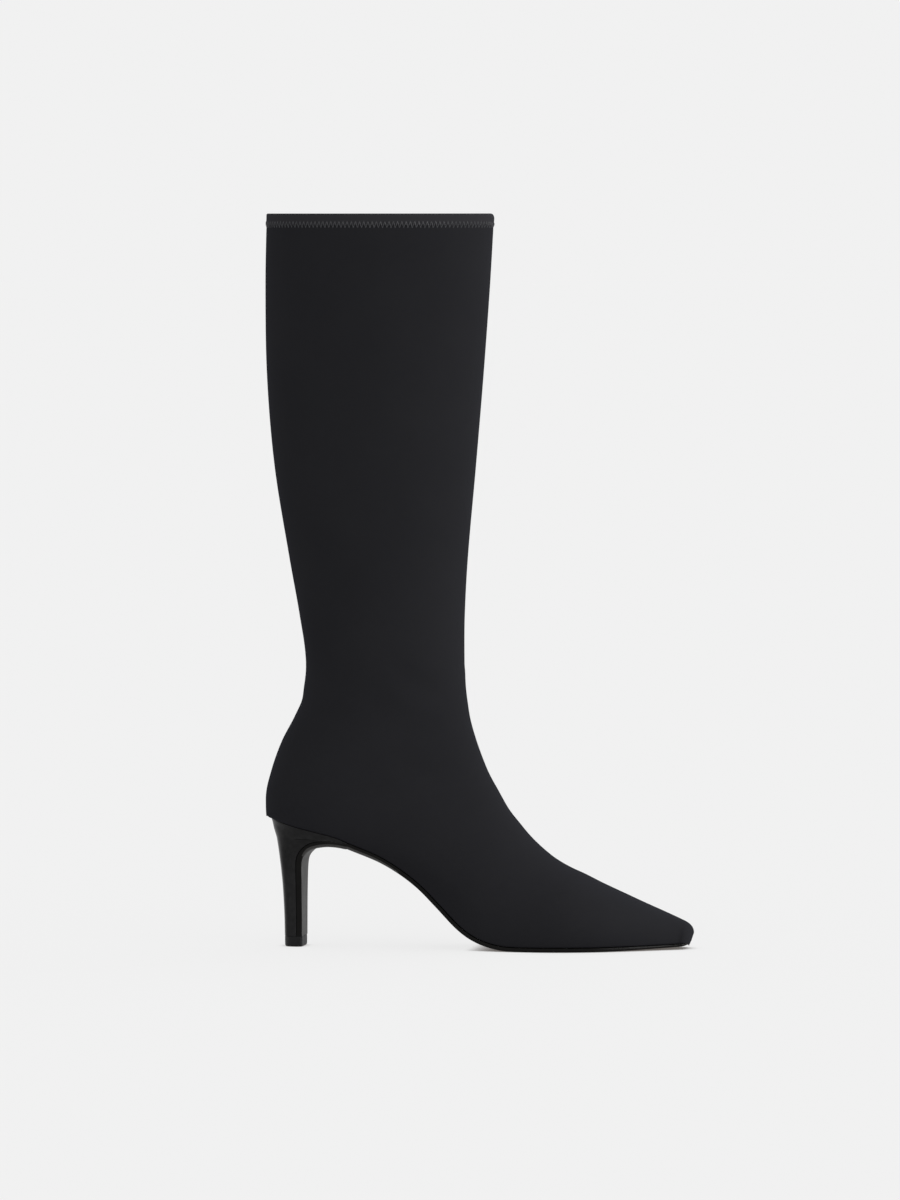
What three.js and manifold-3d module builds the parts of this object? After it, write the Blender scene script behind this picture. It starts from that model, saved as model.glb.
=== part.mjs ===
// A knee-high pull-on sock boot for the right foot, with a slim heel, as five pieces.
// Millimetres. +X runs from heel to toe, +Z up, +Y to the medial side of the foot.
import * as THREE from "three";
import { mergeVertices } from "three/addons/utils/BufferGeometryUtils.js";
import Module from "manifold-3d";

const wasm = await Module();
wasm.setup();

// Driving dimensions
const collarHeight = 436;
const heelHeight = 76.5;
const footLength = 254;
const collarDepth = 136.5;
const collarWidth = 76;
const ballWidth = 84;
const instepLift = 60;
const upperWall = 1.5;
const hemHeight = 6;
const hemStep = 0.3;
const insoleThickness = 2.2;
const soleThickness = 2.4;
const archThickness = 3.2;
const toeSpring = 2.9;
const toeRound = 5.8;
const toeDrop = 4.4;
const toeSlope = 0.5;
const lastingDepth = 9;
const heelBreast = 23.2;
const heelLip = 54;
const heelColumnDepth = 11.8;
const heelColumnWidth = 22.5;
const heelTipThickness = 6;
const heelOverhang = 1.2;
const gap = 0.3;

// Fineness of the meshes
const ringSegments = 32;
const heelSegments = 32;
const slabSteps = 36;
const outlineSteps = 44;
const breastSteps = 22;
const columnSteps = 12;

const shaftHeight = collarHeight - heelHeight;

// A table's rows as objects, from the names of its columns and one list of values for each row.
function table(names, rows) {
  const columns = names.split(" ");
  return rows.map((row) => Object.fromEntries(columns.map((name, i) => [name, row[i]])));
}

// The line of the sole's top in the side view. x is a share of footLength, rise a share of the seat's height.
const soleLine = table("x rise", [
  [-0.04, 1.03],
  [0.015, 0.992],
  [0.048, 0.969],
  [0.12, 0.912],
  [0.179, 0.861],
  [0.217, 0.807],
  [0.282, 0.712],
  [0.329, 0.614],
  [0.376, 0.49],
  [0.423, 0.333],
  [0.47, 0.173],
  [0.505, 0.086],
  [0.545, 0.03],
  [0.59, 0.003],
  [0.7, 0.0],
  [0.78, 0.0],
  [1.1, 0.0],
]);

// Sections of the leg, from the collar down to the heel. back and front are shares of collarDepth, backUp
// and frontUp shares of shaftHeight above the seat, and half is a share of collarWidth. wide is how far up a
// section is widest, low and high are the powers of its curve below and above that, and steps how many rings
// follow it.
const legSections = table("back backUp front frontUp half wide low high steps", [
  [0.003, 1.0, 1.0, 1.0, 0.5, 0.5, 2.1, 2.0, 2],
  [0.0, 0.88, 0.981, 0.88, 0.497, 0.5, 2.1, 2.0, 2],
  [0.006, 0.732, 0.954, 0.732, 0.487, 0.5, 2.1, 2.0, 2],
  [0.039, 0.583, 0.921, 0.583, 0.468, 0.5, 2.1, 2.0, 2],
  [0.103, 0.434, 0.886, 0.434, 0.445, 0.49, 2.1, 2.0, 2],
  [0.149, 0.335, 0.872, 0.335, 0.43, 0.48, 2.1, 2.0, 2],
  [0.176, 0.26, 0.871, 0.26, 0.424, 0.46, 2.1, 2.0, 1],
  [0.168, 0.207, 0.876, 0.243, 0.42, 0.44, 2.1, 2.0, 1],
  [0.131, 0.17, 0.879, 0.221, 0.416, 0.42, 2.15, 2.0, 1],
  [0.072, 0.127, 0.8875, 0.193, 0.412, 0.4, 2.2, 2.0, 2],
  [0.026, 0.078, 0.9, 0.164, 0.408, 0.37, 2.3, 2.0, 2],
  [0.002, 0.032, 0.9225, 0.134, 0.404, 0.35, 2.4, 2.0, 2],
]);

// Sections of the foot, from the heel seat to the toe. sole and top are shares of footLength, lift a share of
// instepLift above the sole line, half, mid and ridge shares of ballWidth. mid is how far the section's centre
// lies to the medial side, and ridge how much further its top does. pinch is how much narrower the sole is.
const footSections = table("sole top lift half mid ridge wide pinch low high steps", [
  [0.022, 0.51, 0.63, 0.363, 0.0, 0.01, 0.33, 0.0, 2.4, 2.0, 2],
  [0.076, 0.5265, 0.517, 0.355, 0.0, 0.015, 0.32, 0.04, 3.4, 2.0, 2],
  [0.157, 0.549, 0.427, 0.345, -0.005, 0.02, 0.32, 0.08, 5.0, 2.0, 1],
  [0.235, 0.573, 0.37, 0.335, -0.01, 0.03, 0.33, 0.14, 5.0, 2.0, 1],
  [0.31, 0.596, 0.397, 0.335, -0.015, 0.04, 0.34, 0.19, 5.0, 2.0, 1],
  [0.375, 0.624, 0.468, 0.355, -0.015, 0.045, 0.36, 0.2, 5.0, 2.0, 1],
  [0.431, 0.653, 0.592, 0.385, -0.01, 0.045, 0.37, 0.17, 5.0, 2.0, 1],
  [0.49, 0.683, 0.723, 0.425, -0.005, 0.04, 0.38, 0.12, 5.0, 2.0, 1],
  [0.553, 0.716, 0.742, 0.465, 0.0, 0.035, 0.4, 0.09, 5.0, 2.0, 1],
  [0.62, 0.751, 0.692, 0.495, 0.0, 0.03, 0.4, 0.08, 5.0, 2.05, 1],
  [0.69, 0.793, 0.602, 0.498, 0.01, 0.02, 0.42, 0.07, 5.0, 2.1, 1],
  [0.765, 0.8415, 0.507, 0.45, 0.025, 0.01, 0.44, 0.07, 5.0, 2.15, 1],
  [0.835, 0.8885, 0.412, 0.362, 0.05, 0.0, 0.46, 0.07, 5.0, 2.2, 1],
  [0.898, 0.9325, 0.317, 0.268, 0.075, 0.0, 0.48, 0.07, 5.0, 2.3, 1],
  [0.945, 0.9655, 0.24, 0.193, 0.09, 0.0, 0.5, 0.07, 5.0, 2.4, 1],
  [0.972, 0.984, 0.194, 0.152, 0.095, 0.0, 0.52, 0.07, 5.0, 2.5, 1],
]);

// The line of the sole's outside from the lip round the arch's end and down the heel's breast. reach is a share
// of the way from breast to lip, up a share of heelHeight.
const breastLine = table("reach up", [
  [1.0, 0.771],
  [0.773, 0.786],
  [0.578, 0.79],
  [0.416, 0.785],
  [0.27, 0.773],
  [0.156, 0.754],
  [0.066, 0.718],
  [0.02, 0.68],
  [0.004, 0.62],
  [0.0, 0.5],
  [0.0, 0.25],
  [0.0, 0.0],
]);

// Sections of the heel, from its seat to the floor. down is a share of heelHeight, depth how far the back lies
// behind the breast as a share of heelColumnDepth, run how far down the breast line the front lies, and flare
// how far the width has grown from the column's to the seat's.
const heelSections = table("down depth run flare wide", [
  [-0.06, 1.74, -0.05, 0.72, 0.45],
  [0.0, 1.61, 0.0, 0.66, 0.45],
  [0.046, 1.47, 0.055, 0.62, 0.45],
  [0.098, 1.415, 0.14, 0.56, 0.46],
  [0.163, 1.37, 0.235, 0.47, 0.47],
  [0.235, 1.295, 0.31, 0.36, 0.48],
  [0.3, 1.235, 0.37, 0.26, 0.5],
  [0.386, 1.17, 0.45, 0.165, 0.52],
  [0.53, 1.085, 0.583, 0.07, 0.55],
  [0.765, 1.005, 0.792, 0.01, 0.55],
  [1.0, 0.975, 1.0, 0.0, 0.55],
]);
const heelBackPower = 2.2;
const heelBreastPower = 9;

// Smooth curve through the rows of a table: the value of one column where the key column reaches at.
function smooth(rows, key, column, at) {
  let i = 0;
  while (i < rows.length - 2 && at > rows[i + 1][key]) i++;
  const slope = (k) => {
    const before = rows[Math.max(k - 1, 0)];
    const after = rows[Math.min(k + 1, rows.length - 1)];
    return (after[column] - before[column]) / (after[key] - before[key]);
  };
  const start = rows[i];
  const end = rows[i + 1];
  const span = end[key] - start[key];
  const t = (at - start[key]) / span;
  const blend = t * t * (3 - 2 * t);
  return (
    start[column] * (1 - blend) +
    end[column] * blend +
    span * t * (1 - t) * ((1 - t) * slope(i) - t * slope(i + 1))
  );
}

const { smoothstep, lerp } = THREE.MathUtils;

// Where a function that falls with its argument reaches zero, between two values.
function zeroOf(fall, low, high) {
  for (let i = 0; i < 40; i++) {
    const middle = (low + high) / 2;
    if (fall(middle) > 0) low = middle;
    else high = middle;
  }
  return low;
}

// The sole line in the side view, where the upper ends, and its downward normal, at x. It is flat under
// the ball.
const flatTop = soleThickness + gap;
const springStart = 0.78 * footLength;
const slopeStep = 0.5;

function soleTop(x) {
  const rise = Math.max(0, smooth(soleLine, "x", "rise", x / footLength));
  const beyond = Math.max(0, (x - springStart) / (footLength - springStart));
  return flatTop + (heelHeight - flatTop) * rise + toeSpring * beyond ** 2;
}

function soleNormal(x) {
  const slope = (soleTop(x + slopeStep) - soleTop(x - slopeStep)) / (2 * slopeStep);
  return new THREE.Vector2(slope, -1).normalize();
}

// How far a point lies above the line that runs a depth below the sole line.
function heightAbove(point, depth) {
  return (soleTop(point.x) - point.z) * soleNormal(point.x).y + depth;
}

// Depth of the sole under its top line: thicker where the arch meets the heel seat.
const archThinEnd = 0.4 * footLength;

function soleDepth(x) {
  return lerp(archThickness, soleThickness, smoothstep(x, heelLip, archThinEnd));
}

// Every section as two ends in the side view, low and high, with its widths.
function legRow(row) {
  return {
    lowX: row.back * collarDepth,
    lowZ: heelHeight + row.backUp * shaftHeight,
    highX: row.front * collarDepth,
    highZ: heelHeight + row.frontUp * shaftHeight,
    half: row.half * collarWidth,
    mid: 0,
    ridge: 0,
    wide: row.wide,
    pinch: 0,
    lowPower: row.low,
    highPower: row.high,
    steps: row.steps,
  };
}

function footRow(row) {
  const x = row.sole * footLength;
  const down = soleNormal(x);
  return {
    lowX: x + lastingDepth * down.x,
    lowZ: soleTop(x) + lastingDepth * down.y,
    highX: row.top * footLength,
    highZ: soleTop(x) + row.lift * instepLift,
    half: row.half * ballWidth,
    mid: row.mid * ballWidth,
    ridge: row.ridge * ballWidth,
    wide: row.wide,
    pinch: row.pinch,
    lowPower: row.low,
    highPower: row.high,
    steps: row.steps,
  };
}

// Sections in order, each with how far along the boot it lies, measured over the sections' middles.
const sections = [...legSections.map(legRow), ...footSections.map(footRow)];
sections.forEach((section, i) => {
  if (i === 0) {
    section.along = 0;
    return;
  }
  const before = sections[i - 1];
  const dx = (section.lowX + section.highX - before.lowX - before.highX) / 2;
  const dz = (section.lowZ + section.highZ - before.lowZ - before.highZ) / 2;
  section.along = before.along + Math.hypot(dx, dz);
});

const columns = Object.keys(sections[0]).filter((name) => name !== "along" && name !== "steps");
const bodyEnd = sections[sections.length - 1].along;

// How much of its size a rounded end keeps at a share of its length.
function roundedOff(share, power) {
  return (1 - share ** power) ** (1 / power);
}
const noseTopPower = 2.4;
const noseSidePower = 2.6;
const noseFootShare = 0.6;

// The section at a distance along the boot. Past the last one the toe is rounded off, its foot held back.
function sectionAt(along) {
  const section = {};
  for (const column of columns) section[column] = smooth(sections, "along", column, Math.min(along, bodyEnd));
  const forward = Math.max(0, along - bodyEnd);
  const share = forward / toeRound;
  section.lowX += noseFootShare * forward;
  section.highX += forward;
  section.highZ -= toeSlope * forward + toeDrop * (1 - roundedOff(share, noseTopPower));
  section.half *= roundedOff(share, noseSidePower);
  return section;
}

// A point of a section at an angle from its high end: a superellipse that is boxier below its widest place.
const leastSoleShare = 0.05;

function pointOn(section, angle) {
  const length = Math.hypot(section.highX - section.lowX, section.highZ - section.lowZ);
  const belowWide = section.wide * length;
  const soleShare = Math.max(leastSoleShare, (belowWide - lastingDepth) / belowWide);
  const up = Math.cos(angle);
  const side = -Math.sin(angle);
  const power = up > 0 ? section.highPower : section.lowPower;
  const reach = (Math.abs(up) ** power + Math.abs(side) ** power) ** (-1 / power);
  const upShare = up * reach;
  const narrow = up < 0 ? 1 - section.pinch * Math.min(1, -upShare / soleShare) ** 2 : 1;
  const distance = belowWide + upShare * (up > 0 ? length - belowWide : belowWide);
  const lean = section.ridge * Math.max(0, upShare) ** 2;
  return new THREE.Vector3(
    section.lowX + ((section.highX - section.lowX) * distance) / length,
    section.mid + lean + section.half * side * reach * narrow,
    section.lowZ + ((section.highZ - section.lowZ) * distance) / length,
  );
}

function ring(section, segments) {
  return Array.from({ length: segments }, (_, i) => pointOn(section, (2 * Math.PI * i) / segments));
}

// Where rings lie in the rounded end of the toe, as shares of its length.
const noseShares = [0.35, 0.65, 0.85, 0.95, 0.985];

// The last's form as rings from the collar to the tip of the toe.
function lastRings() {
  const alongs = [];
  for (let i = 0; i < sections.length - 1; i++) {
    const start = sections[i].along;
    const span = sections[i + 1].along - start;
    for (let k = 0; k < sections[i].steps; k++) alongs.push(start + (span * k) / sections[i].steps);
  }
  alongs.splice(1, 0, hemHeight, hemHeight + hemStep);
  alongs.push(bodyEnd, ...noseShares.map((share) => bodyEnd + toeRound * share));
  return alongs.map((along) => ring(sectionAt(along), ringSegments));
}

const baseRings = lastRings();

// Outward directions of the form at each point of its rings.
function outward(rings) {
  return rings.map((points, r) =>
    points.map((_, i) => {
      const before = rings[Math.max(r - 1, 0)][i];
      const after = rings[Math.min(r + 1, rings.length - 1)][i];
      const left = points[(i + 1) % points.length];
      const right = points[(i + points.length - 1) % points.length];
      const down = new THREE.Vector3().subVectors(after, before);
      const round = new THREE.Vector3().subVectors(left, right);
      return round.cross(down).normalize();
    }),
  );
}

const baseOutward = outward(baseRings);

// The form's rings moved out by a distance given for each ring.
function skin(distance) {
  return baseRings.map((points, r) =>
    points.map((point, i) => point.clone().addScaledVector(baseOutward[r][i], distance(r))),
  );
}

// A closed geometry from rings of equal count, with a fan over each end.
function loft(rings) {
  const count = rings[0].length;
  const positions = [];
  const indices = [];
  for (const points of rings) for (const point of points) positions.push(point.x, point.y, point.z);
  for (let r = 0; r < rings.length - 1; r++) {
    for (let i = 0; i < count; i++) {
      const next = (i + 1) % count;
      const a = r * count + i;
      const b = r * count + next;
      const c = a + count;
      const d = b + count;
      indices.push(a, b, c, b, d, c);
    }
  }
  for (const end of [0, rings.length - 1]) {
    const centre = new THREE.Vector3();
    for (const point of rings[end]) centre.addScaledVector(point, 1 / count);
    const hub = positions.length / 3;
    positions.push(centre.x, centre.y, centre.z);
    for (let i = 0; i < count; i++) {
      const a = end * count + i;
      const b = end * count + ((i + 1) % count);
      if (end === 0) indices.push(hub, b, a);
      else indices.push(hub, a, b);
    }
  }
  const geometry = new THREE.BufferGeometry();
  geometry.setAttribute("position", new THREE.Float32BufferAttribute(positions, 3));
  geometry.setIndex(indices);
  return geometry;
}

// A closed prism over an outline in the side view, wider than the boot.
const prismWidth = 3 * ballWidth;

function prism(outline) {
  const shape = new THREE.Shape(outline);
  const geometry = new THREE.ExtrudeGeometry(shape, { depth: prismWidth, bevelEnabled: false });
  geometry.rotateX(Math.PI / 2);
  geometry.translate(0, prismWidth / 2, 0);
  return geometry;
}

// Geometry to solid and back.
const mergeDistance = 1e-4;

function toSolid(geometry) {
  geometry.deleteAttribute("normal");
  geometry.deleteAttribute("uv");
  const merged = mergeVertices(geometry, mergeDistance);
  const vertProperties = new Float32Array(merged.attributes.position.array);
  const triVerts = new Uint32Array(merged.index.array);
  return new wasm.Manifold(new wasm.Mesh({ numProp: 3, vertProperties, triVerts }));
}

function toGeometry(solid) {
  const mesh = solid.getMesh();
  const geometry = new THREE.BufferGeometry();
  geometry.setAttribute("position", new THREE.BufferAttribute(mesh.vertProperties, 3));
  geometry.setIndex(new THREE.BufferAttribute(mesh.triVerts, 1));
  geometry.computeVertexNormals();
  return geometry;
}

const beforeHeel = soleLine[0].x * footLength;
const beyondToe = 1.05 * footLength;
const farBelow = -heelHeight;

// Points of the line that runs a distance below the sole's top, from one x to another.
function lineBelow(distance, fromX, toX) {
  const points = [];
  for (let i = 0; i <= slabSteps; i++) {
    const x = lerp(fromX, toX, i / slabSteps);
    const down = soleNormal(x);
    points.push(new THREE.Vector2(x + distance * down.x, soleTop(x) + distance * down.y));
  }
  return points;
}

// The upper: the form less its own inside, open at the collar, and cut along the sole line underneath.
function makeUpper() {
  const outer = toSolid(loft(skin((r) => (r < 2 ? hemStep : 0))));
  const insideRings = skin(() => -upperWall);
  const mouth = insideRings[0].map((point) => point.clone().setZ(point.z + hemHeight));
  const inside = toSolid(loft([mouth, ...insideRings]));
  const floor = [new THREE.Vector2(beyondToe, farBelow), new THREE.Vector2(beforeHeel, farBelow)];
  const under = toSolid(prism([...lineBelow(0, beforeHeel, beyondToe), ...floor]));
  return outer.subtract(inside).subtract(under);
}

// The insole: a board over the sole line that fills the upper's inside, less the gap.
function makeInsole() {
  const inside = toSolid(loft(skin(() => -upperWall - gap)));
  const low = lineBelow(0, beforeHeel, beyondToe);
  const high = lineBelow(-insoleThickness, beforeHeel, beyondToe);
  return inside.intersect(toSolid(prism([...low, ...high.reverse()])));
}

// The form's two sides where it meets the line a gap below the sole line, at a distance along the boot.
function sidesAt(along) {
  const section = sectionAt(along);
  const angle = zeroOf((at) => heightAbove(pointOn(section, at), gap), Math.PI / 2, Math.PI);
  return { lateral: pointOn(section, angle), medial: pointOn(section, -angle) };
}

// Where the form's back, and its side at a given x, meet that line.
const seatBack = zeroOf(
  (along) => heightAbove(pointOn(sectionAt(along), Math.PI), gap),
  sections[legSections.length - 3].along,
  sections[legSections.length + 2].along,
);

function alongAt(x) {
  return zeroOf((along) => x - sidesAt(along).lateral.x, seatBack, bodyEnd);
}

// The line of the sole's outside from the lip to the floor, with its length.
const breastRows = breastLine.map((row) => ({
  x: heelBreast + row.reach * (heelLip - heelBreast),
  z: row.up * heelHeight,
  along: 0,
}));
for (let i = 1; i < breastRows.length; i++) {
  const before = breastRows[i - 1];
  breastRows[i].along = before.along + Math.hypot(breastRows[i].x - before.x, breastRows[i].z - before.z);
}
const breastLength = breastRows[breastRows.length - 1].along;

// A point of the breast line and its outward normal, at a share of its length.
function breastPoint(share) {
  const place = share * breastLength;
  return new THREE.Vector2(smooth(breastRows, "along", "x", place), smooth(breastRows, "along", "z", place));
}

function onBreast(share) {
  const step = slopeStep / breastLength;
  const run = breastPoint(Math.min(share + step, 1)).sub(breastPoint(Math.max(share - step, 0))).normalize();
  return { point: breastPoint(share), out: new THREE.Vector2(-run.y, run.x) };
}

// A point of the breast line moved in from the sole's outside by a distance.
function breastInside(share, inward) {
  const { point, out } = onBreast(share);
  return point.clone().addScaledVector(out, -inward);
}

const seatHalf = footSections[1].half * ballWidth;

function columnHalf(run) {
  return lerp(heelColumnWidth / 2, seatHalf, smooth(heelSections, "run", "flare", run));
}

// The sole: stations from the top piece up the breast, round the arch's end and on to the toe. Each is a
// plate's outline with its lower edge taken off.
const edgeRound = 0.8;
const flapShare = 0.985;
const flapStart = 0.035;
const flapBlend = 0.2;

function plateRing(lateral, medial, down, thickness) {
  const across = new THREE.Vector3().subVectors(medial, lateral);
  const most = across.length() / 3;
  across.normalize();
  const corner = (point, inset, deep) => {
    const towards = point === lateral ? 1 : -1;
    return point.clone().addScaledVector(across, towards * Math.min(inset, most)).addScaledVector(down, deep);
  };
  return [
    corner(lateral, 0, 0),
    corner(medial, 0, 0),
    corner(medial, 0, thickness - edgeRound),
    corner(medial, edgeRound, thickness),
    corner(lateral, edgeRound, thickness),
    corner(lateral, 0, thickness - edgeRound),
  ];
}

function makeOutsole() {
  const start = alongAt(heelLip);
  const lipSides = sidesAt(start);
  const flapEnd = 1 - (heelTipThickness + gap) / breastLength;
  const rings = [];
  for (let i = 0; i <= breastSteps; i++) {
    const run = lerp(flapEnd, flapStart, i / breastSteps);
    const { out } = onBreast(run);
    const inner = breastInside(run, archThickness);
    const share = smoothstep(run, 0, flapBlend);
    const half = flapShare * columnHalf(run);
    const lateral = new THREE.Vector3(inner.x, lerp(lipSides.lateral.y, -half, share), inner.y);
    const medial = new THREE.Vector3(inner.x, lerp(lipSides.medial.y, half, share), inner.y);
    rings.push(plateRing(lateral, medial, new THREE.Vector3(out.x, 0, out.y), archThickness));
  }
  const alongs = [];
  for (let i = 0; i <= outlineSteps; i++) alongs.push(lerp(start, bodyEnd, i / outlineSteps));
  alongs.push(...noseShares.map((share) => bodyEnd + toeRound * share));
  for (const along of alongs) {
    const { lateral, medial } = sidesAt(along);
    const x = (lateral.x + medial.x) / 2;
    const down = soleNormal(x);
    rings.push(plateRing(lateral, medial, new THREE.Vector3(down.x, 0, down.y), soleDepth(x)));
  }
  return toSolid(loft(rings.reverse()));
}

// One ring of the heel at a share of the height below the seat's back, its front a distance in from the breast.
function heelRing(down, inward) {
  const at = (column) => smooth(heelSections, "down", column, down);
  const front = breastInside(at("run"), inward);
  const section = {
    lowX: heelBreast - heelColumnDepth * at("depth"),
    lowZ: heelHeight * (1 - down),
    highX: front.x,
    highZ: front.y,
    half: columnHalf(at("run")),
    mid: 0,
    ridge: 0,
    wide: at("wide"),
    pinch: 0,
    lowPower: heelBackPower,
    highPower: heelBreastPower,
  };
  return ring(section, heelSegments);
}

// The outline of the heel's seat: the form's own from its back to the lip, closed by a straight front.
const seatFrontShare = 0.25;
const seatSamples = 40;

function seatOutline() {
  const start = seatBack;
  const end = alongAt(heelLip);
  const sides = [];
  for (let i = 0; i <= seatSamples; i++) sides.push(sidesAt(lerp(end, start, (i / seatSamples) ** 0.5)));
  const along = (side) => {
    const measure = [0];
    for (let i = 1; i < sides.length; i++) {
      measure.push(measure[i - 1] + sides[i][side].distanceTo(sides[i - 1][side]));
    }
    return (share) => {
      const place = share * measure[measure.length - 1];
      let i = 1;
      while (i < measure.length - 1 && measure[i] < place) i++;
      const t = (place - measure[i - 1]) / (measure[i] - measure[i - 1]);
      return sides[i - 1][side].clone().lerp(sides[i][side], t);
    };
  };
  const lateral = along("lateral");
  const medial = along("medial");
  return Array.from({ length: heelSegments }, (_, i) => {
    const turn = (2 * i) / heelSegments;
    const share = turn <= 1 ? turn : 2 - turn;
    const side = turn <= 1 ? lateral : medial;
    if (share > seatFrontShare) return side((share - seatFrontShare) / (1 - seatFrontShare));
    const middle = lateral(0).add(medial(0)).multiplyScalar(0.5);
    return middle.lerp(side(0), share / seatFrontShare);
  });
}

// Depths under the seat at which the heel's rings pass from the seat's outline to the column's.
const seatDepths = [-2.5, 0, 1, 2.3, 4, 5.8, 7.8, 9.8, 11.8, 13.8];
const blendStart = 1;
const blendEnd = 12.5;
const overhangStart = 2;
const overhangEnd = 24;

// How far in from the breast line the heel's rings reach: a little into the flap, whose place is then cut away.
const heelReach = archThickness - 0.4;

function heelRings() {
  const seat = seatOutline();
  const heart = new THREE.Vector3(heelLip / 2, 0, 0);
  const atSeat = smooth(heelSections, "down", "depth", 0);
  const rings = seatDepths.map((depth) => {
    const down = (depth + gap) / heelHeight;
    const column = heelRing(Math.max(down, 0), heelReach);
    const drawnIn = heelColumnDepth * Math.max(0, atSeat - smooth(heelSections, "down", "depth", down));
    const weight = smoothstep(depth, blendStart, blendEnd);
    return seat.map((point, i) => {
      const normal = soleNormal(point.x);
      const inward = heart.clone().sub(point).setZ(0).normalize();
      const overhang = heelOverhang * (1 - smoothstep(point.x, overhangStart, overhangEnd));
      const sunk = point.clone().add(new THREE.Vector3(normal.x, 0, normal.y).multiplyScalar(depth));
      const back = 1 - smoothstep(point.x, heelBreast, heelLip);
      sunk.addScaledVector(inward, drawnIn * back + overhang);
      return sunk.lerp(column[i], weight);
    });
  });
  const start = (seatDepths[seatDepths.length - 1] + gap) / heelHeight;
  const end = 1 - (heelTipThickness + gap) / heelHeight;
  for (let i = 1; i <= columnSteps; i++) rings.push(heelRing(lerp(start, end, i / columnSteps), heelReach));
  return rings;
}

// The heel lies under the seat line and behind the sole's flap.
function makeHeel() {
  const face = [];
  for (let i = 0; i <= slabSteps; i++) {
    const point = breastInside(i / slabSteps, archThickness + gap);
    if (soleTop(point.x) - point.y > gap) face.push(point);
  }
  const seat = lineBelow(gap, beforeHeel, face[0].x);
  const floor = [new THREE.Vector2(face[face.length - 1].x, farBelow), new THREE.Vector2(beforeHeel, farBelow)];
  const behindFlap = toSolid(prism([...seat, ...face, ...floor]));
  return toSolid(loft(heelRings())).intersect(behindFlap);
}

function makeHeelTip() {
  return toSolid(loft([heelRing(1 - heelTipThickness / heelHeight, 0), heelRing(1, 0)]));
}

const upper = makeUpper();
const insole = makeInsole();
const outsole = makeOutsole();
const heel = makeHeel();
const heelTip = makeHeelTip();

// Colours and finishes
const blackFabric = new THREE.MeshStandardMaterial({ color: 0x1d1d20, roughness: 0.62, metalness: 0 });
const insoleBoard = new THREE.MeshStandardMaterial({ color: 0x2a2826, roughness: 0.8, metalness: 0 });
const glossBlack = new THREE.MeshStandardMaterial({ color: 0x0d0d0f, roughness: 0.2, metalness: 0 });
const soleBlack = new THREE.MeshStandardMaterial({ color: 0x18181a, roughness: 0.45, metalness: 0 });

const boot = new THREE.Group();

function addPiece(name, solid, material) {
  const mesh = new THREE.Mesh(toGeometry(solid), material);
  mesh.name = name;
  boot.add(mesh);
}

addPiece("upper", upper, blackFabric);
addPiece("insole", insole, insoleBoard);
addPiece("outsole", outsole, soleBlack);
addPiece("heel", heel, glossBlack);
addPiece("heel_tip", heelTip, soleBlack);

// The origin is on the floor, under the middle of the boot's own box.
const extent = new THREE.Box3().setFromObject(boot);
const middle = extent.getCenter(new THREE.Vector3());
boot.position.set(-middle.x, -middle.y, -extent.min.z);

export default boot;
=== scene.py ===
# The sock boot's looks: fine versions of its pieces, its materials, the floor, the lights and the camera.
# Lengths are millimetres up to the meshes, which are in metres. +X runs from heel to toe, +Y to the medial side.
import math

import bmesh
import bpy
import numpy as np
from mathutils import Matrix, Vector


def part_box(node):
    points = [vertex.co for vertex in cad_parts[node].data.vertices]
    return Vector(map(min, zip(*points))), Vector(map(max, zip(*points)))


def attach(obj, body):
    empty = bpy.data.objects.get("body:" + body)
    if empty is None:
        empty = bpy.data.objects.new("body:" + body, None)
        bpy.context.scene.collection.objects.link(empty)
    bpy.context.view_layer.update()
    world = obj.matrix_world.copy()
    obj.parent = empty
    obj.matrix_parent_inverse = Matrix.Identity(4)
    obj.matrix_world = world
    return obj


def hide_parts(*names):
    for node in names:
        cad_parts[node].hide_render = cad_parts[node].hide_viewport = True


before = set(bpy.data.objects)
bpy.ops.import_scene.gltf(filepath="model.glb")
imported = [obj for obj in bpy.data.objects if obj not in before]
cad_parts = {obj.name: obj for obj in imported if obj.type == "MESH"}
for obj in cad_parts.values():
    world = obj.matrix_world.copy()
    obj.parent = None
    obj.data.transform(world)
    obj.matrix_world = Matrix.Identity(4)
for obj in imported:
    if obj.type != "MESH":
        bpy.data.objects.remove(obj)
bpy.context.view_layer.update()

# Driving dimensions, as in the part's source
COLLAR_HEIGHT = 436.0
HEEL_HEIGHT = 76.5
FOOT_LENGTH = 254.0
COLLAR_DEPTH = 136.5
COLLAR_WIDTH = 76.0
BALL_WIDTH = 84.0
INSTEP_LIFT = 60.0
UPPER_WALL = 1.5
HEM_HEIGHT = 7.0
HEM_STEP = 0.12
INSOLE_THICKNESS = 2.2
SOLE_THICKNESS = 2.4
ARCH_THICKNESS = 3.2
TOE_SPRING = 1.0
TOE_THINNING = 0.9
TOE_ROUND = 5.8
TOE_DROP = 4.4
TOE_SLOPE = 0.5
LASTING_DEPTH = 9.0
HEEL_BREAST = 23.2
HEEL_COLUMN_DEPTH = 11.8
HEEL_COLUMN_WIDTH = 22.5
HEEL_TIP_THICKNESS = 6.0
HEEL_LIP = 54.0
GAP = 0.3
SHAFT_HEIGHT = COLLAR_HEIGHT - HEEL_HEIGHT
MM = 0.001


def table(columns, rows):
    """A short table as one array for each named column."""
    return dict(zip(columns.split(), np.array(rows, float).T))


# The line of the sole's top in the side view: shares of the foot's length and of the seat's height.
SOLE_LINE = table(
    "x rise",
    [
        (-0.04, 1.045),
        (0.015, 1.003),
        (0.048, 0.974),
        (0.12, 0.912),
        (0.179, 0.861),
        (0.217, 0.807),
        (0.282, 0.712),
        (0.329, 0.614),
        (0.376, 0.49),
        (0.423, 0.333),
        (0.47, 0.173),
        (0.505, 0.086),
        (0.545, 0.03),
        (0.59, 0.003),
        (0.7, 0.0),
        (0.78, 0.0),
        (1.1, 0.0),
    ],
)

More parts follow.
